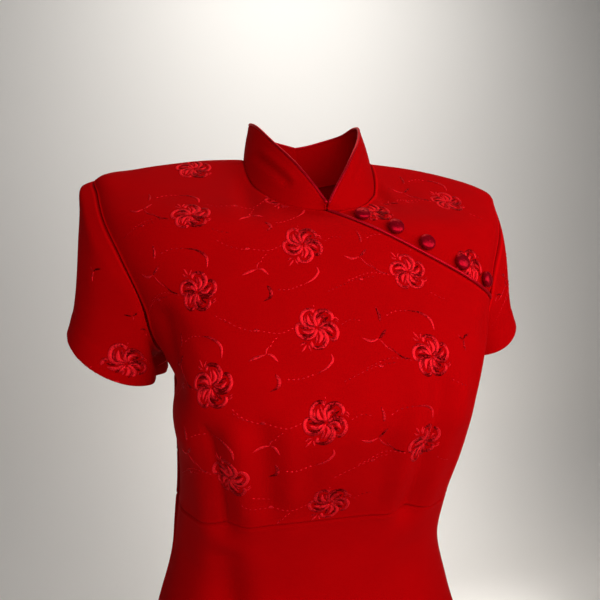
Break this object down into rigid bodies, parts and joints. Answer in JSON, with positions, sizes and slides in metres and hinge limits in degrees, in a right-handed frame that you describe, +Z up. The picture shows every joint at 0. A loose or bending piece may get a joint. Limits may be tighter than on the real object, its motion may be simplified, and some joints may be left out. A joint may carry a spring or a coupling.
{
  "type": "cheongsam dress",
  "caption": "Knee-length cheongsam dress with a stand collar, a diagonal corded opening and short set-in sleeves, in its worn, hollow form.",
  "frame": {"origin": "midway between the two points where the shoulder seams meet the collar, where a wearer's shoulders and neck hold the dress up", "axes": "+Z up, -Y the front of the dress, +X the wearer's left"},
  "size_m": [0.4695, 0.2713, 1.0052],
  "materials": {
    "bodice_front": "matt crepe",
    "bodice_back": "matt crepe",
    "bodice_shoulder": "matt crepe",
    "skirt_front": "matt crepe",
    "skirt_back": "matt crepe",
    "sleeve_right": "matt crepe",
    "sleeve_left": "matt crepe",
    "collar": "matt crepe",
    "collar_piping": "satin",
    "placket_piping": "satin",
    "button_1": "satin",
    "button_2": "satin",
    "button_3": "satin",
    "button_4": "satin",
    "button_5": "satin"
  },
  "bodies": {
    "root": {"bodice_front": "bodice_front", "bodice_back": "bodice_back", "bodice_shoulder": "bodice_shoulder", "skirt_front": "skirt_front", "skirt_back": "skirt_back", "sleeve_right": "sleeve_right", "sleeve_left": "sleeve_left", "collar": "collar", "collar_piping": "collar_piping", "placket_piping": "placket_piping", "button_1": "button_1", "button_2": "button_2", "button_3": "button_3", "button_4": "button_4", "button_5": "button_5"}
  },
  "joints": []
}
